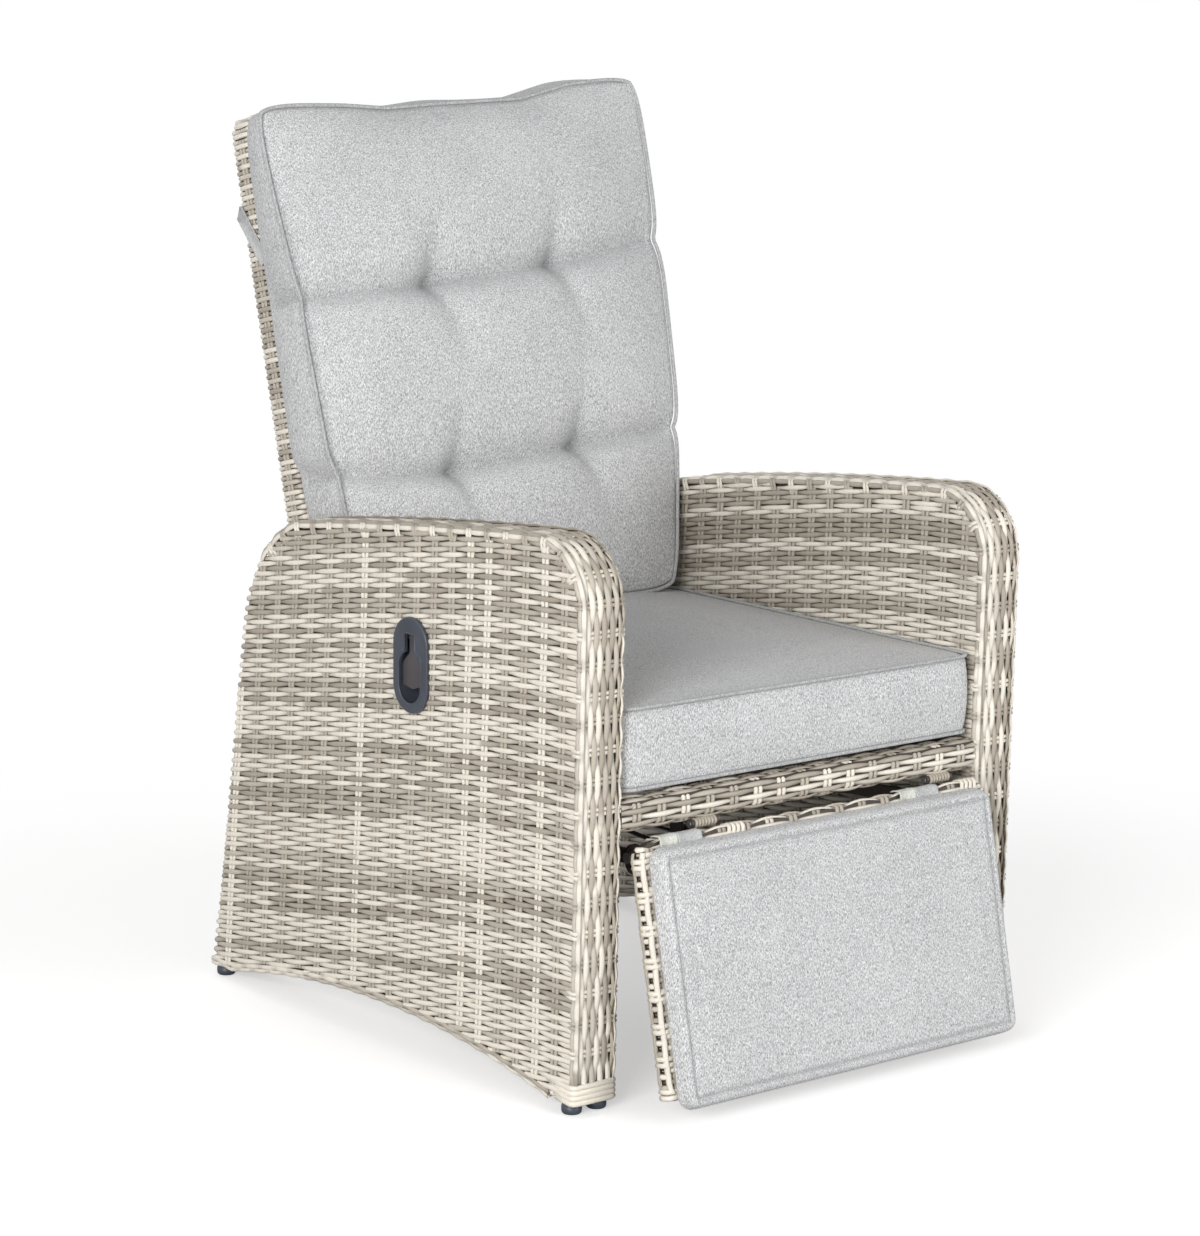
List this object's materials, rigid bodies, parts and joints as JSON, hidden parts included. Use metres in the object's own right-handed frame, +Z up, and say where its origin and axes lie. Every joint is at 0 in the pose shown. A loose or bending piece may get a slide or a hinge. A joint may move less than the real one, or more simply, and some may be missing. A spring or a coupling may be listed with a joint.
{
  "type": "reclining garden armchair",
  "caption": "Woven cane armchair with solid side panels, loose grey cushions, a backrest that reclines and a footrest that lifts with it, worked by a handle in one arm.",
  "frame": {"origin": "on the floor, midway between the arms and midway between the chair's front and rear extremes at rest", "axes": "+X to the right seen from the front of the chair towards its back, +Y towards the back, +Z up; the chair faces -Y"},
  "size_m": [0.66, 0.8836, 1.0643],
  "materials": {
    "cane": "woven half-round strands in cream and taupe",
    "cushion_fabric": "melange grey woven cloth",
    "strap_webbing": "grey cloth band",
    "tab_fabric": "off-white hook-and-loop tab",
    "frame_tube": "dark powder coat",
    "painted_steel": "dark powder coat",
    "steel_hardware": "zinc plated",
    "polished_rod": "polished",
    "deck_plastic": "dark woven mat",
    "foot_plastic": "satin",
    "handle_plastic": "satin anthracite",
    "paddle_plastic": "satin",
    "cable_sheath": "smooth"
  },
  "bodies": {
    "base": {"apron_wicker": "cane", "arm_bolts": "steel_hardware", "arm_edge_band_left": "cane", "arm_edge_band_right": "cane", "arm_frame_left": "frame_tube", "arm_frame_right": "frame_tube", "arm_inner_skin_left": "cane", "arm_inner_skin_right": "cane", "arm_outer_skin_left": "cane", "arm_outer_skin_right": "cane", "back_hinge_bracket_left": "painted_steel", "back_hinge_bracket_right": "painted_steel", "back_hinge_pins": "steel_hardware", "back_hinge_washers": "steel_hardware", "feet_left": "foot_plastic", "feet_right": "foot_plastic", "footrest_hinge_barrels": "painted_steel", "gas_spring_hanger": "painted_steel", "gas_spring_rod": "polished_rod", "handle_bezel": "handle_plastic", "handle_pin": "steel_hardware", "hinge_barrel_wraps": "cane", "release_cable": "cable_sheath", "release_head": "painted_steel", "seat_cross_tube": "frame_tube", "seat_cushion": "cushion_fabric", "seat_deck": "deck_plastic", "seat_front_rail": "frame_tube", "seat_rear_rail": "frame_tube", "seat_side_rail_left": "frame_tube", "seat_side_rail_right": "frame_tube"},
    "backrest": {"back_frame": "frame_tube", "back_wicker_front": "cane", "back_wicker_rear": "cane", "back_wicker_edge": "cane", "back_crank_left": "painted_steel", "back_crank_right": "painted_steel", "gas_spring_crank": "painted_steel", "link_pins_rear": "steel_hardware", "gas_spring_pin_rear": "steel_hardware", "back_cushion": "cushion_fabric", "back_strap": "strap_webbing"},
    "footrest": {"footrest_frame": "frame_tube", "footrest_wicker_front": "cane", "footrest_wicker_rear": "cane", "footrest_wicker_edge": "cane", "footrest_hinge_lugs": "painted_steel", "footrest_cranks": "painted_steel", "footrest_hinge_pins": "steel_hardware", "link_pins_front": "steel_hardware", "footrest_pad": "cushion_fabric", "footrest_strap_left": "strap_webbing", "footrest_strap_right": "strap_webbing", "strap_tabs": "tab_fabric"},
    "link_left": {"link_rod_left": "painted_steel"},
    "link_right": {"link_rod_right": "painted_steel"},
    "gas_tube": {"gas_spring_tube": "painted_steel"},
    "handle": {"handle_paddle": "paddle_plastic"}
  },
  "joints": [
    {"name": "back_recline", "type": "hinge", "parent": "base", "child": "backrest", "pos_m": [0, 0.24287, 0.327], "axis": [-1, 0, 0], "range_deg": [0, 30]},
    {"name": "footrest_lift", "type": "hinge", "parent": "base", "child": "footrest", "pos_m": [0, -0.33153, 0.309], "axis": [-1, 0, 0], "range_deg": [0, 75]},
    {"name": "link_left_pivot", "type": "hinge", "parent": "backrest", "child": "link_left", "pos_m": [0, 0.26876, 0.23041], "axis": [-1, 0, 0], "range_deg": [-30, 0]},
    {"name": "link_right_pivot", "type": "hinge", "parent": "backrest", "child": "link_right", "pos_m": [0, 0.26876, 0.23041], "axis": [-1, 0, 0], "range_deg": [-30, 0]},
    {"name": "gas_spring_slide", "type": "slide", "parent": "base", "child": "gas_tube", "axis": [0, -1, 0], "range_m": [0, 0.0518]},
    {"name": "handle_pull", "type": "hinge", "parent": "base", "child": "handle", "pos_m": [-0.324, -0.03113, 0.4875], "axis": [0, 1, 0], "range_deg": [0, 28], "stiffness_Nm_per_rad": 0.4}
  ],
  "couplings": [
    {"joint": "footrest_lift", "follows": "back_recline", "ratio": 2.5},
    {"joint": "link_left_pivot", "follows": "back_recline", "ratio": -1},
    {"joint": "link_right_pivot", "follows": "back_recline", "ratio": -1},
    {"joint": "gas_spring_slide", "follows": "back_recline", "m_per_rad": 0.09886}
  ]
}
